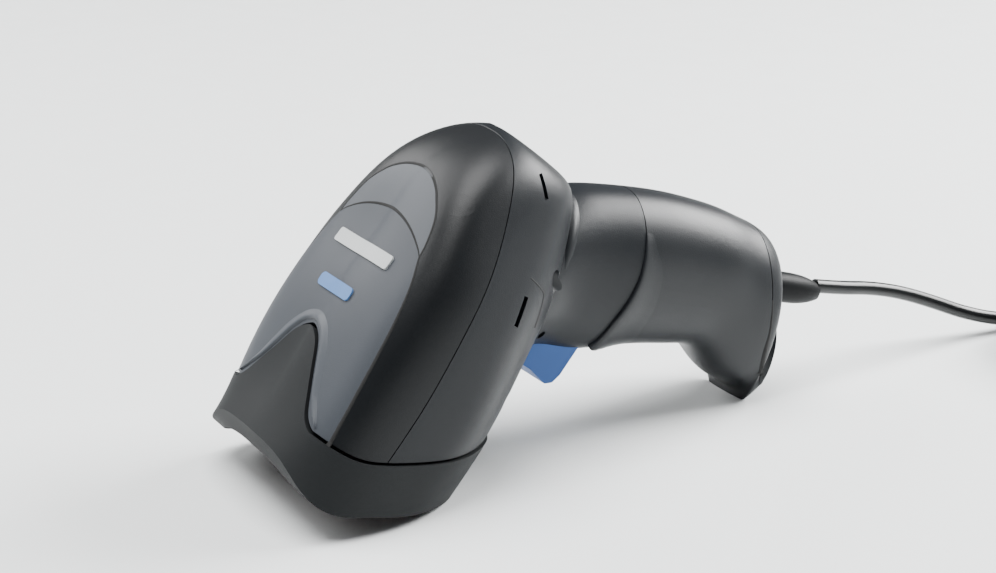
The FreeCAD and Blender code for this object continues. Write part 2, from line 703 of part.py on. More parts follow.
# Light board in front of the chassis, with four lamps and the lens of the aimer.
light_size = [dim("light_board_height"), dim("light_board_width"), dim("board_thickness")]
light_plate = box("LightPlate", cell("light_board_height"), cell("light_board_width"), board)
light_hole = cylinder("LightHole", cell("barrel_radius"), board, (light_size[0] / 2, light_size[1] / 2, 0))
light_board = cut("LightBoard", light_plate, light_hole)
light_front = front - light_size[2]
keep(light_board, "light_board", at(lens_x - light_size[0] / 2, -light_size[1] / 2, light_front))
lamps = []
for x in (-8.5, 8.5):
    for y in (-16.5, 16.5):
        corner = (x - dim("lamp_size") / 2, y - dim("lamp_size") / 2, 0)
        lamp_sizes = (cell("lamp_size"), cell("lamp_size"), cell("lamp_length"))
        lamps.append(box(f"Lamp{len(lamps)}", *lamp_sizes, corner))
keep(group("Lamps", lamps), "light_lamps", at(lens_x, 0, light_front - dim("lamp_length")))
dome = cell("aimer_length")
aimer_radius = cell("aimer_radius")
aimer = turned("Aimer", [
    (0, 0), (f"{aimer_radius} * 0.6", 0), (aimer_radius, f"{dome} * 0.4"), (aimer_radius, dome), (0, dome),
])
keep(aimer, "aimer_lens", at(lens_x, 12.0, light_front - dim("aimer_length")))

# Beeper in its seat, and the lamp under the light lens.
beeper = cylinder("Beeper", cell("beeper_radius"), cell("beeper_length"))
keep(beeper, "beeper", at(*BEEPER_PLACE, Rotation(Vector(0, 0, 1), SIDE)))
STATUS_DEPTH = 5.0
STATUS_MIDDLE = 74.0
lamp_board = box("StatusBoard", board, cell("status_board_width"), cell("status_board_length"))
status_corner = (-dim("status_board_width") / 2, STATUS_MIDDLE - dim("status_board_length") / 2)
keep(lamp_board, "status_board", at(STATUS_DEPTH, *status_corner))
status_lamp = box("StatusLamp", cell("lamp_length"), cell("lamp_size"), cell("lamp_size"))
lamp_corner = (-dim("lamp_size") / 2, STATUS_MIDDLE - dim("lamp_size") / 2)
keep(status_lamp, "status_lamp", at(STATUS_DEPTH - dim("lamp_length"), *lamp_corner))

# Main board on the rails of the grip, with its chips, its ribbon connector and the cable jack.
BOARD_START = 96.0
board_size = [dim("main_board_thickness"), dim("main_board_width"), dim("main_board_length")]
board_plate = box("MainPlate", *(cell("main_board_" + name) for name in ("thickness", "width", "length")))
screw_spots = [(9.2, 108.0), (-9.2, 128.0)]
holes = []
for y, z in screw_spots:
    centre = (0, y + board_size[1] / 2, z - BOARD_START)
    holes.append(cylinder(f"BoardHole{len(holes)}", "0.8 mm", cell("main_board_thickness"), centre, (1, 0, 0)))
main_board = cut("MainBoard", board_plate, group("BoardHoles", holes))
keep(main_board, "main_board", on_handle(BOARD_BACK, -board_size[1] / 2, BOARD_START))
BOARD_FRONT = BOARD_BACK + board_size[0]
chips = []
for z, size in ((104, "10 mm"), (119, "8 mm"), (132, "6 mm")):
    chips.append(box(f"Chip{len(chips)}", "1.4 mm", size, size, (0, -float(size[:-3]) / 2, z - BOARD_START)))
keep(group("Chips", chips), "board_chips", on_handle(BOARD_FRONT, 0, BOARD_START))
connector = box("RibbonConnector", cell("connector_depth"), cell("connector_width"), "3.5 mm")
CONNECTOR_START = 98.5
connector_place = (BOARD_BACK - dim("connector_depth"), -dim("connector_width") / 2, CONNECTOR_START)
keep(connector, "ribbon_connector", on_handle(*connector_place))
jack_block = box("JackBlock", cell("jack_depth"), cell("jack_width"), cell("jack_length"))
JACK_FLOOR = 1.5
jack_wall = ((dim("jack_depth") - dim("plug_depth")) / 2, (dim("jack_width") - dim("plug_width")) / 2)
hole_corner = (*jack_wall, JACK_FLOOR)
jack_hole = box("JackHole", cell("plug_depth"), cell("plug_width"), cell("jack_length"), hole_corner)
JACK_START = 136.0
jack = cut("Jack", jack_block, jack_hole)
keep(jack, "cable_jack", on_handle(BOARD_BACK - dim("jack_depth"), -dim("jack_width") / 2, JACK_START))
plug_corner = (BOARD_BACK - (dim("jack_depth") + dim("plug_depth")) / 2, -dim("plug_width") / 2)
modular_plug = box("ModularPlug", cell("plug_depth"), cell("plug_width"), cell("plug_length"))
keep(modular_plug, "modular_plug", on_handle(*plug_corner, JACK_START + JACK_FLOOR))


def ribbon(points, width, thickness):
    """Flat cable that follows points drawn in side view."""
    turns = []
    for before, after in zip(points[:1] + points[:-1], points[1:] + points[-1:]):
        run = math.hypot(after[0] - before[0], after[1] - before[1])
        turns.append((-(after[1] - before[1]) / run * thickness, (after[0] - before[0]) / run * thickness))
    near = [Vector(x, -width / 2, z) for x, z in points]
    far = [Vector(x + dx, -width / 2, z + dz) for (x, z), (dx, dz) in zip(points, turns)]
    sides = [smooth(near), Part.makeLine(near[-1], far[-1]), smooth(far), Part.makeLine(far[0], near[0])]
    return Part.Face(Part.Wire(Part.__sortEdges__(sides))).extrude(Vector(0, width, 0))


board_back_face = front + chassis_size[2] + dim("board_thickness")
connector_point = HANDLE.multVec(Vector(BOARD_BACK - dim("connector_depth") / 2, 0, CONNECTOR_START))
ribbon_path = [(34, board_back_face), (36, 74), (45, 84), (56, 89.5), (connector_point.x, connector_point.z)]
RIBBON_WIDTH = 10.0
RIBBON_THICKNESS = 0.25
moulding("ribbon_cable", ribbon(ribbon_path, RIBBON_WIDTH, RIBBON_THICKNESS))

# Trigger with its pin, its return spring and the switch behind it.
axis_x, axis_z = TRIGGER_AXIS
outline = [
    (-3.4, -3.0), (-1.0, -5.4), (3.0, -9.2), (10.0, -8.7), (16.6, -9.6), (18.6, -8.0), (19.3, -5.0),
    (18.9, 8.0), (3.4, 8.0), (-3.4, 3.6),
]
trigger = padded("Trigger", outline, "XZ_Plane", cell("trigger_width"))
trigger = rounded(trigger, 1.2, lambda edge: along(edge, Vector(0, 1, 0)) and edge.CenterOfMass.x > 16)
doc.recompute()
bore_sketch = new_sketch(trigger, "XZ_Plane")
bore_sketch.addGeometry(Part.Circle(Vector(), Vector(0, 0, 1), 1.3), False)
bore_sketch.addConstraint(Sketcher.Constraint("Coincident", 0, 3, -1, 1))
bore_number = bore_sketch.addConstraint(Sketcher.Constraint("Radius", 0, 1.3))
bore_formula = f"{cell('pin_radius')} + {cell('pin_clearance')}"
bore_sketch.setExpression(f"Constraints[{bore_number}]", bore_formula)
bore = trigger.newObject("PartDesign::Pocket", "TriggerBore")
bore.Profile = bore_sketch
bore.SideType = "Symmetric"
bind(bore, Length=cell("trigger_width"))
trigger.Tip = bore
keep(trigger, "trigger", at(axis_x, 0, axis_z))
pin = turned("TriggerPin", [
    (0, 0), (cell("pin_radius"), 0), (cell("pin_radius"), cell("pin_length")), (0, cell("pin_length")),
])
keep(pin, "trigger_pin", at(axis_x, -dim("pin_length") / 2, axis_z, Rotation(Vector(0, 0, 1), SIDE)))
PLUNGER_DEPTH = 60.5
switch = box("Switch", cell("switch_height"), cell("switch_width"), cell("switch_length"))
bore_place = (dim("switch_height") / 2, dim("switch_width") / 2, 0)
running = f"{cell('plunger_radius')} + 0.1"
switch_bore = cylinder("SwitchBore", running, "4.8 mm", bore_place)
switch = cut("SwitchBody", switch, switch_bore)
keep(switch, "switch_body", at(PLUNGER_DEPTH - bore_place[0], -bore_place[1], SWITCH_FACE))
plunger_radius = cell("plunger_radius")
plunger = turned("Plunger", [
    (0, 0), (f"{plunger_radius} * 0.6", 0), (plunger_radius, 0.6), (plunger_radius, cell("plunger_length")),
    (0, cell("plunger_length")),
])
TRIGGER_BACK = axis_z + 8.0
PLUNGER_GAP = 0.3
keep(plunger, "switch_plunger", at(PLUNGER_DEPTH, 0, TRIGGER_BACK + PLUNGER_GAP))


def coil_spring(radius, wire, length, turns):
    """Round wire wound into a helix."""
    path = Part.makeHelix((length - 2 * wire) / turns, length - 2 * wire, radius)
    profile = Part.Wire(Part.makeCircle(wire / 2, Vector(radius, 0, 0), Vector(0, 1, 0)))
    spring = Part.Wire(path).makePipeShell([profile], True, True)
    spring.translate(Vector(0, 0, wire))
    return spring


spring = coil_spring(dim("spring_radius"), dim("spring_wire"), dim("spring_length"), 5)
SPRING_GAP = 0.4
moulding("trigger_spring", spring, at(SPRING_DEPTH, 0, TRIGGER_BACK + SPRING_GAP))


# Screws: four for the top cover, one for the butt cap, two for the main board.
def screw(name, scale="1"):
    """Pan-head screw with its seat at the origin and its shank towards -Z."""
    sizes = [f"{cell(alias)} * {scale}" for alias in ("screw_radius", "screw_head_radius")]
    shank, head = (f"{cell(alias)} * {scale}" for alias in ("screw_length", "screw_head_length"))
    return turned(name, [
        (0, "-" + shank), (sizes[0], "-" + shank), (sizes[0], 0), (sizes[1], 0), (sizes[1], f"{head} * 0.6"),
        (f"{sizes[1]} * 0.7", head), (0, head),
    ])


def placed_copies(name, source, places):
    """Copies of one piece at several places, kept as separate solids."""
    copies = []
    for number, place in enumerate(places):
        link = doc.addObject("Part::Compound", f"{name}{number}")
        link.Links = [source]
        link.Placement = place
        copies.append(link)
    return group(name, copies)


inwards = Rotation(Vector(0, 0, 1), Vector(1, 0, 0))
housing_screw = screw("HousingScrew")
cover_spots = [Placement(Vector(SCREW_LEVEL, y, z), inwards) for y, z in screw_places()]
cap_spot = HANDLE.multiply(Placement(Vector(CAP_SCREW_LINE, 0, CAP_SCREW_SEAT), Rotation()))
keep(placed_copies("HousingScrews", housing_screw, cover_spots + [cap_spot]), "housing_screws", REST)
board_screw = screw("BoardScrew", "0.6")
board_spots = [Placement(Vector(BOARD_FRONT, y, z), inwards) for y, z in screw_spots]
keep(placed_copies("BoardScrews", board_screw, board_spots), "board_screws", on_handle(0, 0, 0))


# ---------------------------------------------------------------- cord


def tube(points, diameter):
    """Tube along straight runs joined by arcs that are as large as the runs allow."""
    edges = []
    radii = []
    start = Vector(*points[0])
    for before, here, after in zip(points, points[1:], points[2:]):
        corner = Vector(*here)
        back = Vector(*before) - corner
        ahead = Vector(*after) - corner
        half_turn = (math.pi - back.getAngle(ahead)) / 2
        reach = 0.45 * min(back.Length, ahead.Length)
        radius = reach / math.tan(half_turn)
        back.normalize()
        ahead.normalize()
        first = corner + back * reach
        last = corner + ahead * reach
        inward = back + ahead
        inward.normalize()
        middle = corner + inward * (radius / math.cos(half_turn) - radius)
        edges += [Part.makeLine(start, first), Part.Arc(first, middle, last).toShape()]
        radii.append(radius)
        start = last
    edges.append(Part.makeLine(start, Vector(*points[-1])))
    path = Part.Wire(edges)
    heading = Vector(*points[1]) - Vector(*points[0])
    ring = Part.Wire(Part.makeCircle(diameter / 2, Vector(*points[0]), heading))
    solid = path.makePipeShell([ring], True, False)
    expected = math.pi * diameter ** 2 / 4 * path.Length
    print(f"cord run {path.Length:.1f} long, volume {solid.Volume / expected:.4f} of section times length")
    print("radii " + " ".join(f"{radius:.0f}" for radius in radii))
    return solid


cord_diameter = dim("cord_diameter")
moulding("cord_run", tube(CORD_ROUTE, cord_diameter), Placement())
moulding("cord_tail", tube(TAIL_ROUTE, cord_diameter), Placement())
BOOT_START = 150.2
boot_end = BOOT_START + dim("boot_length")
boot_half = dim("boot_width") / 2
boot_end_half = dim("boot_end_width") / 2
BOOT_NOSE = 3.0
BOOT_ROUNDING = 0.5
boot_sections = [
    (BOOT_START, boot_half),
    (158.0, boot_half),
    (boot_end - BOOT_NOSE, boot_end_half + BOOT_ROUNDING),
    (boot_end, boot_end_half - BOOT_ROUNDING),
]
boot_wires = [closed_section(-half, 0, half, half, level) for level, half in boot_sections]
moulding("cable_boot", Part.makeLoft(boot_wires, True, False), on_handle(CORD_LINE, 0, 0))
ring_outer = f"{cell('coil_radius')} + {cell('coil_width')} / 2"
ring_inner = f"{cell('coil_radius')} - {cell('coil_width')} / 2"
coil_outer = cylinder("CoilOuter", ring_outer, cell("coil_height"))
coil_inner = cylinder("CoilInner", ring_inner, cell("coil_height"))
coil = cut("Coil", coil_outer, coil_inner)
keep(coil, "cord_coil", Placement(Vector(*COIL_CENTRE, dim("tie_wall")), Rotation()))
TIE_TURN = -150
STRAP_PLAY = 0.1
strap_width = f"{cell('coil_width')} + 2 * {STRAP_PLAY}"
strap_wall = f"2 * {cell('tie_wall')}"
strap_sizes = (f"{strap_width} + {strap_wall}", cell("tie_width"), f"{cell('coil_height')} + {strap_wall}")
strap_outer = box("StrapOuter", *strap_sizes)
strap_hole = (dim("tie_wall"), 0, dim("tie_wall"))
strap_inner = box("StrapInner", strap_width, cell("tie_width"), cell("coil_height"), strap_hole)
strap = cut("Strap", strap_outer, strap_inner)
strap_start = dim("coil_radius") - dim("coil_width") / 2 - dim("tie_wall") - STRAP_PLAY
strap_corner = Vector(strap_start, -dim("tie_width") / 2, 0)
around = Placement(Vector(*COIL_CENTRE, 0), Rotation(Vector(0, 0, 1), TIE_TURN))
keep(strap, "coil_tie", around.multiply(Placement(strap_corner, Rotation())))

# Computer plug at the end of the cord, lying flat on the table.
plug_root = Vector(*TAIL_ROUTE[-1])
plug_run = plug_root - Vector(*TAIL_ROUTE[-2])
plug_turn = Rotation(Vector(0, 0, 1), math.degrees(math.atan2(plug_run.y, plug_run.x)))


def on_plug(x, y, z):
    """Placement of a piece of the computer plug: X along the plug, Z above the table."""
    plug_place = Placement(Vector(plug_root.x, plug_root.y, 0), plug_turn)
    return plug_place.multiply(Placement(Vector(x, y, z), Rotation()))


grip_half = f"{cell('grip_width')} / 2"
grip_outline = [
    (0, "-2.8 mm"), (5, "-" + grip_half), (cell("grip_length"), "-" + grip_half),
    (cell("grip_length"), grip_half), (5, grip_half), (0, "2.8 mm"),
]
plug_grip = padded("PlugGrip", grip_outline, "XY_Plane", cell("grip_height"))
plug_grip = rounded(plug_grip, 1.4, lambda edge: edge.CenterOfMass.x < dim("grip_length") - 0.5)
keep(plug_grip, "usb_grip", on_plug(0, 0, dim("grip_height") / 2))
shield_sizes = [cell("shield_length"), cell("shield_width"), cell("shield_height")]
shield_outer = box("ShieldOuter", *shield_sizes)
less = f" - 2 * {cell('shield_wall')}"
shield_wall = dim("shield_wall")
shield_hollow = (shield_sizes[0], shield_sizes[1] + less, shield_sizes[2] + less)
shield_inner = box("ShieldInner", *shield_hollow, (0, shield_wall, shield_wall))
shield = cut("Shield", shield_outer, shield_inner)
shield_base = (dim("grip_height") - dim("shield_height")) / 2
keep(shield, "usb_shield", on_plug(dim("grip_length"), -dim("shield_width") / 2, shield_base))
TONGUE_THICKNESS = 1.9
tongue = box("Tongue", cell("shield_length") + " - 1.5", shield_sizes[1] + less, f"{TONGUE_THICKNESS} mm")
tongue_base = shield_base + shield_wall
keep(tongue, "usb_tongue", on_plug(dim("grip_length"), shield_wall - dim("shield_width") / 2, tongue_base))
contact_length = cell("shield_length") + " - 5"
contacts = []
for y in (-3.5, -1.0, 1.0, 3.5):
    contacts.append(box(f"Contact{len(contacts)}", contact_length, "1 mm", "0.25 mm", (0, y - 0.5, 0)))
contacts_start = dim("grip_length") + 2.0
keep(group("Contacts", contacts), "usb_contacts", on_plug(contacts_start, 0, tongue_base + TONGUE_THICKNESS))


# ---------------------------------------------------------------- checks and files

doc.recompute()
faults = [item.Name for item in doc.Objects if {"Invalid", "Error"} & set(item.State)]
for piece in PARTS:
    if piece.Shape.isNull() or not piece.Shape.isValid() or not piece.Shape.Solids:
        faults.append(piece.Label)
if faults:
    raise RuntimeError("these objects failed: " + ", ".join(faults))
os.makedirs("parts", exist_ok=True)
for piece in PARTS:
    piece.Shape.exportStep(os.path.join("parts", piece.Label + ".step"))
print(len(PARTS), "sub-parts written")
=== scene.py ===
import json
import math

import bpy
from mathutils import Matrix, Vector
from mathutils.bvhtree import BVHTree


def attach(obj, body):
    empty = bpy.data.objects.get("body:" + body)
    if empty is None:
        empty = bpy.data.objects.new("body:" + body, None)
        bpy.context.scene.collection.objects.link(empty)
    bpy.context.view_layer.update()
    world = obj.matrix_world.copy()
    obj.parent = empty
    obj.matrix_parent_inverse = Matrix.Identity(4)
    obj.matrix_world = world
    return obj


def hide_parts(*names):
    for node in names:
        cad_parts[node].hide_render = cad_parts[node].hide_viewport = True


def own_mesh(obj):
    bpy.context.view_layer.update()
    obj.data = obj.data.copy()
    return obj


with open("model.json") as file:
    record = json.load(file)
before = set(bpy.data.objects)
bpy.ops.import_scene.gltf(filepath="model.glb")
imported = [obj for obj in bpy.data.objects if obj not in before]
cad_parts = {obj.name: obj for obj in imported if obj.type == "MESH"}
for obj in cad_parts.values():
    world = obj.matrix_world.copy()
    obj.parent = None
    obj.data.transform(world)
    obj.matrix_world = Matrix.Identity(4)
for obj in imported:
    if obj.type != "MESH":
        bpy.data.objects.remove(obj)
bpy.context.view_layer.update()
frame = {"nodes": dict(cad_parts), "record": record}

MM = 0.001
NODES = frame["nodes"]

# ---------------------------------------------------------------- camera

CAMERA_AZIMUTH = math.radians(-30)
CAMERA_ELEVATION = math.radians(20)
CAMERA_TARGET = Vector((-0.00678, 0, 0.0421))
CAMERA_DISTANCE = 0.5946
SENSOR_WIDTH = 36
LENS = 79.5
SHIFT_UP = 0.0136
NEAREST_SEEN = 0.01


def add_camera():
    """Camera that looks along the azimuth from the given elevation at the target."""
    data = bpy.data.cameras.new("camera")
    data.sensor_width = SENSOR_WIDTH
    data.lens = LENS
    data.shift_y = SHIFT_UP
    data.clip_start = NEAREST_SEEN
    camera = bpy.data.objects.new("camera", data)
    back = Vector((
        math.sin(CAMERA_AZIMUTH) * math.cos(CAMERA_ELEVATION),
        -math.cos(CAMERA_AZIMUTH) * math.cos(CAMERA_ELEVATION),
        math.sin(CAMERA_ELEVATION),
    ))
    camera.location = CAMERA_TARGET + back * CAMERA_DISTANCE
    camera.rotation_euler = back.to_track_quat("Z", "Y").to_euler()
    bpy.context.collection.objects.link(camera)
    bpy.context.scene.camera = camera


add_camera()

# ---------------------------------------------------------------- cord

CORD_DIAMETER = 0.0042
# Route of the cord from the boot to the coil, and from the coil to the computer plug.
CORD_ROUTE = [
    (0.1013, 0.0, 0.0269),
    (0.111, -0.0002, 0.0246),
    (0.1225, 0.0004, 0.0224),
    (0.1345, 0.0005, 0.0189),
    (0.147, 0.0, 0.0138),
    (0.1595, -0.0011, 0.0081),
    (0.172, -0.0026, 0.0041),
    (0.184, -0.0044, 0.0026),
    (0.1963, -0.0057, 0.0029),
]
TAIL_ROUTE = [
    (0.2022, -0.0057, 0.0158),
    (0.2125, -0.0069, 0.0149),
    (0.2225, -0.0099, 0.012),
    (0.2318, -0.0144, 0.0082),
    (0.2402, -0.0202, 0.0053),
    (0.248, -0.0266, 0.0046),
]
# Coil of the put-away length: its middle, where its first turn starts, and the turns in it.
COIL_CENTRE = Vector((0.199, -0.0365, 0))
COIL_START = math.radians(95)
COIL_FLOOR = 0.0029
TURN_PITCH = 0.0043
COIL_OUTER = 0.03095
LAYERS = 4
TURNS_PER_LAYER = 3
POINTS_PER_TURN = 24
# Part of a turn over which the cord climbs to the next layer.
CLIMB_STEPS = POINTS_PER_TURN // 4


def coil_points():
    """Turns of the put-away cord: flat layers that wind in, out, in and out again."""
    points = []
    steps = TURNS_PER_LAYER * POINTS_PER_TURN
    for layer in range(LAYERS):
        for step in range(steps):
            if layer == 0 and step == 0:
                continue
            turned = step / POINTS_PER_TURN
            inwards = layer % 2 == 0
            radius = COIL_OUTER - TURN_PITCH * (turned if inwards else TURNS_PER_LAYER - turned)
            height = COIL_FLOOR + TURN_PITCH * layer
            if layer and step < CLIMB_STEPS:
                height -= TURN_PITCH * (1 - step / CLIMB_STEPS)
            angle = COIL_START - 2 * math.pi * turned
            offset = Vector((radius * math.cos(angle), radius * math.sin(angle), height))
            points.append(COIL_CENTRE + offset)
    return points


def add_cord():
    """The whole cord as one smooth curve, whose points carry its radius."""
    curve = bpy.data.curves.new("cord", "CURVE")
    curve.dimensions = "3D"
    curve.bevel_depth = 1.0
    curve.bevel_resolution = 6
    curve.resolution_u = 6
    curve.use_fill_caps = True
    route = [Vector(place) for place in CORD_ROUTE]
    tail = [Vector(place) for place in TAIL_ROUTE]
    points = route + coil_points() + tail
    spline = curve.splines.new("NURBS")
    spline.points.add(len(points) - 1)
    for point, place in zip(spline.points, points):
        point.co = (*place, 1)
        point.radius = CORD_DIAMETER / 2
    spline.order_u = 3
    spline.use_endpoint_u = True
    cord = bpy.data.objects.new("cord", curve)
    bpy.context.collection.objects.link(cord)
    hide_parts("cord_run", "cord_coil", "cord_tail")
    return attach(cord, "scanner")


cord = add_cord()

# ---------------------------------------------------------------- materials

# Mottle: how far the roughness goes up and down, and its noise.
GLOSS_SPREAD = 0.05
MOTTLE_SCALE = 60.0
MOTTLE_DETAIL = 4.0
# Grain: its noise, and its depth in metres.
GRAIN_SCALE = 3500.0
GRAIN_DETAIL = 2.0
GRAIN_DEPTH = 0.0002
PLAIN_SPECULAR = 0.5


def add_mottle(nodes, links, place, shader, roughness):
    """Gloss that wanders a little over the surface."""
    mottle = nodes.new("ShaderNodeTexNoise")
    mottle.inputs["Scale"].default_value = MOTTLE_SCALE
    mottle.inputs["Detail"].default_value = MOTTLE_DETAIL
    links.new(place.outputs["Object"], mottle.inputs["Vector"])
    spread = nodes.new("ShaderNodeMapRange")
    spread.inputs["To Min"].default_value = roughness - GLOSS_SPREAD
    spread.inputs["To Max"].default_value = roughness + GLOSS_SPREAD
    links.new(mottle.outputs["Fac"], spread.inputs["Value"])
    links.new(spread.outputs["Result"], shader.inputs["Roughness"])


def add_grain(nodes, links, place, shader, grain):
    """Fine moulded grain."""
    noise = nodes.new("ShaderNodeTexNoise")
    noise.inputs["Scale"].default_value = GRAIN_SCALE
    noise.inputs["Detail"].default_value = GRAIN_DETAIL
    links.new(place.outputs["Object"], noise.inputs["Vector"])
    bump = nodes.new("ShaderNodeBump")
    bump.inputs["Strength"].default_value = grain
    bump.inputs["Distance"].default_value = GRAIN_DEPTH
    links.new(noise.outputs["Fac"], bump.inputs["Height"])
    links.new(bump.outputs["Normal"], shader.inputs["Normal"])


def surface(name, colour, roughness, grain=0.0, specular=PLAIN_SPECULAR, metallic=0.0):
    """Moulded or metal surface: one colour, a faint mottle in its gloss, and a fine grain."""
    material = bpy.data.materials.new(name)
    material.use_nodes = True
    nodes = material.node_tree.nodes
    links = material.node_tree.links
    shader = nodes["Principled BSDF"]
    shader.inputs["Base Color"].default_value = (*colour, 1)
    shader.inputs["Metallic"].default_value = metallic
    shader.inputs["Specular IOR Level"].default_value = specular
    place = nodes.new("ShaderNodeTexCoord")
    add_mottle(nodes, links, place, shader, roughness)
    if grain:
        add_grain(nodes, links, place, shader, grain)
    return material


# Slot: colour, roughness, strength of the grain, specular level, metal.
LOOKS = {
    "nose_rubber": ((0.014, 0.0155, 0.0165), 0.6, 0.25, 0.15),
    # cover_plastic and panel_plastic are one grey plastic in lit and shaded copies: the panel's far lighter
    # colour is painted light on the top, the cover's near-black colour painted shade on its sides.
    "cover_plastic": ((0.0045, 0.0055, 0.0068), 0.42, 0.2, 0.25),
    "panel_plastic": ((0.05, 0.056, 0.066), 0.5, 0.2, 0.25),
    "lens_plastic": ((0.064, 0.071, 0.082), 0.48, 0.15, 0.25),
    "housing_plastic": ((0.0055, 0.007, 0.009), 0.42, 0.2, 0.25),
    "grip_rubber": ((0.006, 0.0075, 0.0095), 0.4, 0.2, 0.35),
    "cap_plastic": ((0.006, 0.0075, 0.0095), 0.42, 0.2, 0.3),
    "window_glass": ((0.03, 0.004, 0.006), 0.08),
    "black_foam": ((0.01, 0.01, 0.01), 0.9),
    "badge_silver": ((0.5, 0.52, 0.52), 0.45, 0.0, 0.2),
    "badge_blue": ((0.1, 0.2, 0.42), 0.45, 0.0, 0.15),
    "label_paper": ((0.7, 0.7, 0.68), 0.5),
    "inner_plastic": ((0.02, 0.02, 0.02), 0.5),
    "lens_glass": ((0.02, 0.02, 0.05), 0.05),
    "board_green": ((0.01, 0.09, 0.04), 0.35),
    "chip_black": ((0.015, 0.015, 0.015), 0.5),
    "lamp_white": ((0.8, 0.8, 0.65), 0.2),
    "amber_lens": ((0.6, 0.3, 0.05), 0.15),
    "light_pipe": ((0.4, 0.75, 0.45), 0.2),
    "connector_ivory": ((0.7, 0.64, 0.5), 0.45),
    "plug_clear": ((0.6, 0.62, 0.6), 0.2),
    "ribbon_white": ((0.75, 0.75, 0.78), 0.35),
    "trigger_blue": ((0.03, 0.10, 0.33), 0.5, 0.15, 0.3),
    "pin_steel": ((0.6, 0.6, 0.6), 0.25, 0.0, PLAIN_SPECULAR, 1.0),
    "spring_steel": ((0.5, 0.5, 0.52), 0.3, 0.0, PLAIN_SPECULAR, 1.0),
    "screw_steel": ((0.2, 0.2, 0.21), 0.35, 0.0, PLAIN_SPECULAR, 1.0),
    "cord_black": ((0.005, 0.0055, 0.006), 0.3, 0.05, 0.35),
    "tie_black": ((0.02, 0.02, 0.02), 0.45, 0.1),
    "plug_black": ((0.004, 0.0045, 0.005), 0.5, 0.15, 0.12),
    "shield_steel": ((0.7, 0.7, 0.72), 0.2, 0.0, PLAIN_SPECULAR, 1.0),
    "tongue_white": ((0.8, 0.8, 0.8), 0.4),
    "contact_gold": ((0.85, 0.6, 0.2), 0.25, 0.0, PLAIN_SPECULAR, 1.0),
}
FINISHES = {slot: surface(slot, *look) for slot, look in LOOKS.items()}
NODE_SLOTS = {entry["node"]: entry["material_slot"] for entry in frame["record"]["subparts"]}
EDGE_ANGLE = math.radians(32)


def finish_nodes():
    """Gives every carried-over node its material, smooth faces and sharp edges."""
    for name, node in NODES.items():
        node.data.materials.clear()
        node.data.materials.append(FINISHES[NODE_SLOTS[name]])
        for polygon in node.data.polygons:
            polygon.use_smooth = True
        node.data.set_sharp_from_angle(angle=EDGE_ANGLE)


cord.data.materials.append(FINISHES["cord_black"])
finish_nodes()

# ---------------------------------------------------------------- outer surfaces

# The head and handle frames of the model, both turned about Y, in millimetres.
LEAN = math.radians(41.6)
HANDLE_TURN = math.radians(65)
HEAD_ORIGIN = Vector((-83.38, 0, 22.6))
# Head, from front to back: distance behind the rim, depth of the crown, of the widest line and of the belly,
# half-width, and how square the crown side is.
HEAD_SECTIONS = [
    (-10, 3.1, 28.0, 57.0, 34.6, 2.8),
    (2, 3.1, 28.0, 57.0, 34.8, 2.8),
    (16, 3.1, 28.0, 57.0, 34.8, 4.2),
    (36, 0.5, 27.5, 55.6, 35.0, 4.4),
    (58, 0.2, 23.0, 52.6, 33.6, 4.4),
    (76, -0.4, 22.8, 49.6, 28.2, 4.1),
    (88, 2.0, 23.2, 44.6, 24.2, 3.4),
    (96, 6.6, 25.0, 40.2, 20.4, 3.0),
    (101.5, 11.0, 24.5, 36.0, 9.0, 2.6),
]
# Handle: distance along it, back edge, front edge, half-width.
HANDLE_SECTIONS = [
    (62, -66.0, -32.0, 18.4),
    (76, -72.6, -29.5, 18.2),
    (88, -75.9, -29.8, 16.6),
    (100, -76.8, -31.3, 16.4),
    (112, -77.1, -33.5, 16.4),
    (124, -76.4, -34.8, 16.5),
    (133, -75.3, -34.5, 16.6),
    (141, -73.6, -28.8, 16.6),
    (148, -71.4, -25.7, 16.8),
    (152.7, -64.7, -23.2, 15.6),
    (155.7, -51.6, -22.0, 14.0),
]
# How round the belly and both sides of the handle are.
ROUND_POWER = 2.2
SHELLS = ("nose_bumper", "top_cover", "top_panel", "light_lens", "lower_housing", "handle_grip", "butt_cap")
# How far outside the plain form the nearest shell is looked for, and the step that gives a normal.
STAND_OFF = 0.6
NORMAL_STEP = 0.8


def section(table, level):
    """Row of a section table at a level, straight between its rows."""
    for before, after in zip(table, table[1:]):
        if level <= after[0]:
            share = max(0.0, (level - before[0]) / (after[0] - before[0]))
            return [a + (b - a) * share for a, b in zip(before, after)][1:]
    return list(table[-1][1:])


def bulge(offset, reach, power):
    """Height of a superellipse of height 1 at a distance from its middle."""
    return max(0.0, 1 - min(1.0, abs(offset / reach)) ** power) ** (1 / power)


def head_place(x, y, z):
    """Point of the head frame in metres in the model's frame."""
    return MM * (HEAD_ORIGIN + Matrix.Rotation(LEAN, 3, "Y") @ Vector((x, y, z)))


def crown(y, z):
    """Point on top of the head, drawn from above."""
    top, widest, _, half, power = section(HEAD_SECTIONS, z)
    return head_place(widest - (widest - top) * bulge(y, half, power), y, z)


def flank(x, z):
    """Point on the side of the head, drawn from the side."""
    top, widest, belly, half, power = section(HEAD_SECTIONS, z)
    above = x < widest
    reach = widest - top if above else belly - widest
    return head_place(x, -half * bulge(x - widest, reach, power if above else ROUND_POWER), z)


def grip_side(forward, along):
    """Point on the side of the handle, drawn from the side."""
    back, front, half = section(HANDLE_SECTIONS, along)
    middle = (back + front) / 2
    y = -half * bulge(forward - middle, (front - back) / 2, ROUND_POWER)
    turned = Matrix.Rotation(HANDLE_TURN, 3, "Y") @ Vector((forward, y, along))
    return head_place(*turned)


def shell_tree():
    """Search tree over the faces of the shells."""
    corners = []
    faces = []
    for name in SHELLS:
        mesh = NODES[name].data
        start = len(corners)
        corners += [vertex.co.copy() for vertex in mesh.vertices]
        for polygon in mesh.polygons:
            faces.append([start + index for index in polygon.vertices])
    return BVHTree.FromPolygons(corners, faces)


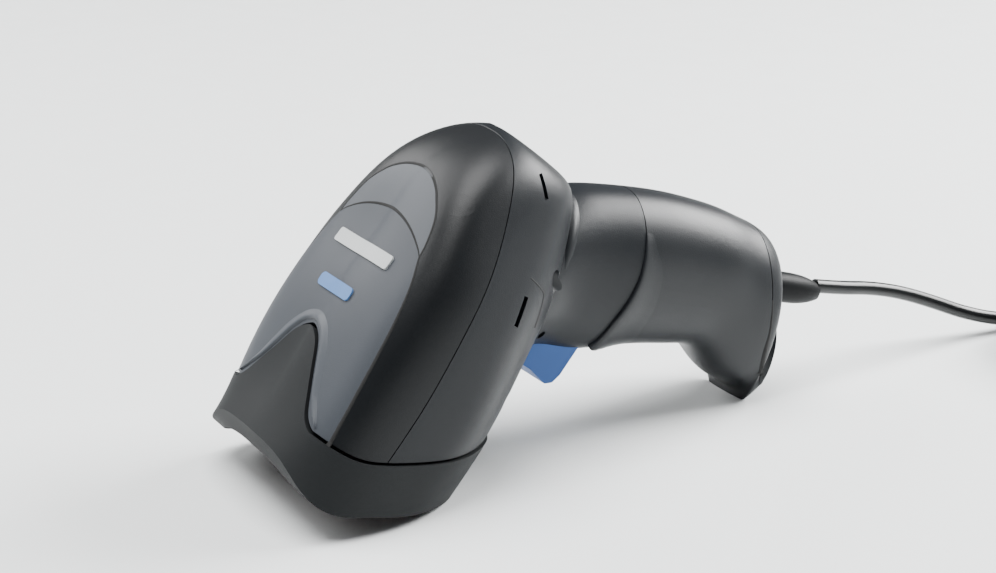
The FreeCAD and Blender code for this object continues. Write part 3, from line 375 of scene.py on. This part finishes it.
SHELL_TREE = shell_tree()
HEAD_MIDDLE = head_place(25, 0, 50)


def lift(view, place, height, on_shell=True):
    """Point above the shells, or above the plain form, at a place in a view."""
    a, b = place
    start = view(a, b)
    across = view(a + NORMAL_STEP, b) - view(a - NORMAL_STEP, b)
    along = view(a, b + NORMAL_STEP) - view(a, b - NORMAL_STEP)
    normal = across.cross(along).normalized()
    if normal.dot(start - HEAD_MIDDLE) < 0:
        normal.negate()
    if on_shell:
        start = SHELL_TREE.find_nearest(start + normal * STAND_OFF * MM)[0]
    return start + normal * height * MM


# ---------------------------------------------------------------- strips on the shells

STRIP_STEPS = 160


def smooth_line(line):
    """Points on a smooth curve through the points of a line, at even steps from point to point."""
    knots = [Vector(place) for place in line]
    knots.insert(0, 2 * knots[0] - knots[1])
    knots.append(2 * knots[-1] - knots[-2])
    spans = len(line) - 1
    points = []
    for index in range(STRIP_STEPS + 1):
        place = index / STRIP_STEPS * spans
        span = min(int(place), spans - 1)
        u = place - span
        a, b, c, d = knots[span:span + 4]
        bend = 2 * a - 5 * b + 4 * c - d
        twist = 3 * b - a - 3 * c + d
        points.append(0.5 * (2 * b + (c - a) * u + bend * u ** 2 + twist * u ** 3))
    return points


def add_mesh(name, rows, slot):
    """Smooth strip of quads through rows of points."""
    width = len(rows[0])
    points = [point for row in rows for point in row]
    faces = []
    for row in range(len(rows) - 1):
        for column in range(width - 1):
            first = row * width + column
            faces.append((first, first + 1, first + width + 1, first + width))
    mesh = bpy.data.meshes.new(name)
    mesh.from_pydata(points, [], faces)
    for polygon in mesh.polygons:
        polygon.use_smooth = True
    mesh.materials.append(FINISHES[slot])
    strip = bpy.data.objects.new(name, mesh)
    bpy.context.collection.objects.link(strip)
    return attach(strip, "scanner")


def both_halves(line):
    """A line drawn from above to the middle of the head, carried on to the other side."""
    return line + [(-across, along) for across, along in reversed(line[:-1])]


def add_sides(name, rows, slot, whole):
    """One mesh for a line over both halves, or one on each side for a line on one side."""
    if whole:
        add_mesh(name, rows, slot)
        return
    for label, side in (("_near", 1), ("_far", -1)):
        turned = [[(x, y * side, z) for x, y, z in row] for row in rows]
        add_mesh(name + label, turned, slot)


def ridge(name, view, line, slot, profile, fade, on_shell=True, whole=False):
    """Strip with a profile of (offset across the line, height); fade gives its size at the line's ends."""
    points = smooth_line(both_halves(line) if whole else line)
    rows = []
    for index, point in enumerate(points):
        ahead = points[min(index + 1, STRIP_STEPS)] - points[max(index - 1, 0)]
        across = Vector((ahead[1], -ahead[0])).normalized()
        share = index / STRIP_STEPS
        if whole:
            share = 1 - abs(2 * share - 1)
        size = fade[0] + (fade[1] - fade[0]) * share
        row = []
        for offset, height in profile:
            place = point + across * offset * size
            row.append(lift(view, place, height * size, on_shell))
        rows.append(row)
    add_sides(name, rows, slot, whole)


def ribbon(name, view, inner, outer, slot, heights):
    """Strip over both halves of the head, with its heights at even steps from one line to another."""
    starts = smooth_line(both_halves(inner))
    ends = smooth_line(both_halves(outer))
    steps = len(heights) - 1
    rows = []
    for start, end in zip(starts, ends):
        row = []
        for step, height in enumerate(heights):
            place = start + (end - start) * step / steps
            row.append(lift(view, place, height))
        rows.append(row)
    add_sides(name, rows, slot, whole=True)


# ---------------------------------------------------------------- trim

# Lines on the crown, seen from above: side, distance behind the rim.
NOSE_EDGE = [
    (-22.8, 10.6), (-20.5, 12.1), (-17.7, 14.6), (-14.9, 17.9), (-11.9, 22.7), (-8.8, 27.6), (-5.8, 30.8),
    (-3.0, 32.1), (0, 32.6),
]
BAND_EDGE = [
    (-23.0, 10.3), (-22.4, 11.6), (-20.9, 13.7), (-18.4, 16.9), (-15.6, 22.4), (-12.2, 28.5), (-8.3, 32.8),
    (-4.5, 34.9), (0, 35.6),
]
PANEL_EDGE = [
    (-28.4, 9.4), (-28.7, 16), (-28.8, 22), (-28.6, 35), (-27.4, 45), (-25.4, 53.4), (-22.2, 60.4),
]
LENS_FRONT = [(-22.2, 60.4), (-19.8, 62.2), (-13.8, 65.2), (-7.2, 67.1), (0, 67.8)]
LENS_BACK = [
    (-22.2, 60.4), (-21.4, 64.6), (-18.8, 71.0), (-14.4, 75.8), (-10.2, 78.6), (-5.5, 80.4), (0, 81.1),
]
# Line on the side of the head: depth below the crown, distance behind the rim.
BEND = [(28.3, 73.1), (31.9, 72.8), (35.6, 72.1), (36.9, 70.2), (37.6, 68.2), (38.3, 65.8), (38.9, 63.5)]
# Lines on the side of the handle: distance from back to front, distance along the handle.
COLLAR = [
    (-73, 78.4), (-70.7, 77.4), (-67.4, 76.2), (-62.7, 74.8), (-57.1, 73.6), (-50.9, 73.2), (-45, 73.6),
]
GRIP_STEP = [
    (-67.5, 99.9), (-63.2, 100.1), (-60, 100.1), (-55, 99.9), (-49, 98.6), (-42.6, 96.6), (-36.3, 95.4),
    (-33.4, 94.9),
]
BUTT_WEDGE = [(-54.5, 147.5), (-45.8, 149.4), (-38, 150.9), (-27.9, 155.5)]

# Profiles: offset across the line, height above the surface.
# Dark strips laid on the surface, a little proud of it, as painted shade along the grooves and seams.
SEAM_SHADE_STRIP = [(-0.5, -0.1), (-0.4, 0.06), (0, 0.08), (0.4, 0.06), (0.5, -0.1)]
WIDE_SEAM_SHADE_STRIP = [(-0.8, -0.1), (-0.6, 0.12), (0, 0.16), (0.6, 0.12), (0.8, -0.1)]
BEAD = [
    (-5, -0.6), (-3.2, -0.1), (-2, 0.35), (-1, 0.75), (0, 0.9), (1, 0.75), (2, 0.35), (3.2, -0.1), (5, -0.6),
]
LIP = [
    (0.9, -0.8), (0.7, 0.5), (0.3, 1.1), (-0.4, 1.4), (-1.2, 1.45), (-3, 1.3), (-6, 0.85), (-9, 0.45),
    (-12, 0.18), (-15, 0.02), (-18, -0.15),
]
# Heights of the chamfer from the groove at the nose out to the panel.
CHAMFER = (-0.1, 0.55, 0.62, 0.5, 0.3, 0.12, -0.05)


def add_trim():
    """Chamfer round the nose peak in the lighter lens plastic as a painted highlight, dark strips as painted
    shade along the seams, the ridge on the neck and the raised lip of the grip.
    """
    # The chamfer is drawn in the lighter lens plastic as a painted highlight on the edge that catches the
    # light.
    ribbon("peak_chamfer_painted_highlight", crown, NOSE_EDGE, BAND_EDGE, "lens_plastic", CHAMFER)
    # The black strips below are painted shade where the grooves and seams lie in shadow.
    ridge("panel_groove_painted_shade", crown, PANEL_EDGE, "black_foam", SEAM_SHADE_STRIP, fade=(1.0, 0.6))
    ridge("lens_front_groove_painted_shade", crown, LENS_FRONT, "black_foam", SEAM_SHADE_STRIP, fade=(0.4, 1.0), whole=True)
    ridge("lens_back_groove_painted_shade", crown, LENS_BACK, "black_foam", SEAM_SHADE_STRIP, fade=(0.6, 1.0), whole=True)
    ridge("collar_ridge", grip_side, COLLAR, "housing_plastic", BEAD, fade=(0.8, 0.5), on_shell=False)
    ridge("grip_lip", grip_side, GRIP_STEP, "grip_rubber", LIP, fade=(0.15, 1.0))
    ridge("bend_groove_painted_shade", flank, BEND, "black_foam", SEAM_SHADE_STRIP, fade=(0.5, 1.0))
    ridge("butt_groove_painted_shade", grip_side, BUTT_WEDGE, "black_foam", WIDE_SEAM_SHADE_STRIP, fade=(0.2, 1.5))


add_trim()

# ---------------------------------------------------------------- return spring of the trigger

# Direction of the spring, the head's own upward one; its start in the head frame; its sizes in millimetres.
SPRING_START = Vector((67.0, 0, 72.4))
SPRING_LENGTH = 8.2
SPRING_RADIUS = 2.0
WIRE_RADIUS = 0.225
SPRING_TURNS = 5
SPRING_STEPS = 160
WIRE_SIDES = 10


def wire_ring(middle, outwards):
    """Ring of points round the wire of the spring."""
    ring = []
    for side in range(WIRE_SIDES + 1):
        angle = 2 * math.pi * side / WIRE_SIDES
        offset = outwards * math.cos(angle) + Vector((0, 0, math.sin(angle)))
        ring.append(head_place(*(middle + WIRE_RADIUS * offset)))
    return ring


def add_spring():
    """Helix of round wire for the trigger's return spring, at the housing's rib; it is built at one length.
    """
    rows = []
    # The wire's own thickness is left free at both ends.
    rise = SPRING_LENGTH - 4 * WIRE_RADIUS
    for step in range(SPRING_STEPS + 1):
        share = step / SPRING_STEPS
        turn = 2 * math.pi * SPRING_TURNS * share
        outwards = Vector((math.cos(turn), math.sin(turn), 0))
        height = Vector((0, 0, 2 * WIRE_RADIUS + rise * share))
        middle = SPRING_START + outwards * SPRING_RADIUS + height
        rows.append(wire_ring(middle, outwards))
    spring = add_mesh("return_spring", rows, "spring_steel")
    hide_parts("trigger_spring")
    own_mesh(spring)


add_spring()

# ---------------------------------------------------------------- floor and light

FLOOR_SIZE = 40.0
FLOOR_COLOUR = (0.8, 0.82, 0.82)
FLOOR_ROUGHNESS = 0.22
LIT_PLACE = Vector((0, 0, 0.04))
OVERHEAD_STRENGTH = 6.5
OVERHEAD_SPREAD = math.radians(45)
OVERHEAD_TILT = math.radians(-5)
STUDIO_COLOUR = (0.95, 0.98, 1)
STUDIO_STRENGTH = 0.1


def add_floor():
    """Plain pale floor."""
    bpy.ops.mesh.primitive_plane_add(size=FLOOR_SIZE, location=(0, 0, 0))
    floor = bpy.context.object
    floor.name = "floor"
    floor.data.materials.append(surface("floor_paint", FLOOR_COLOUR, FLOOR_ROUGHNESS))


def add_lamp(name, place, size, power):
    """Soft rectangular lamp that faces the object."""
    data = bpy.data.lights.new(name, "AREA")
    data.shape = "RECTANGLE"
    data.size, data.size_y = size
    data.energy = power
    lamp = bpy.data.objects.new(name, data)
    lamp.location = place
    lamp.rotation_euler = (Vector(place) - LIT_PLACE).to_track_quat("Z", "Y").to_euler()
    bpy.context.collection.objects.link(lamp)


def add_overhead():
    """Even soft light from above."""
    data = bpy.data.lights.new("overhead", "SUN")
    data.energy = OVERHEAD_STRENGTH
    data.angle = OVERHEAD_SPREAD
    overhead = bpy.data.objects.new("overhead", data)
    overhead.rotation_euler = (OVERHEAD_TILT, OVERHEAD_TILT, 0)
    bpy.context.collection.objects.link(overhead)


def add_studio():
    """Dim even light from all round."""
    world = bpy.data.worlds.new("studio")
    world.use_nodes = True
    background = world.node_tree.nodes["Background"]
    background.inputs["Color"].default_value = (*STUDIO_COLOUR, 1)
    background.inputs["Strength"].default_value = STUDIO_STRENGTH
    bpy.context.scene.world = world


add_floor()
add_lamp("back_left", place=(-0.38, 0.8, 0.6), size=(0.7, 0.5), power=10)
add_lamp("back_right", place=(0.95, -0.05, 0.62), size=(0.7, 0.5), power=40)
add_overhead()
add_lamp("front", place=(-0.6, -1.1, 0.8), size=(0.8, 0.6), power=0.2)
add_studio()
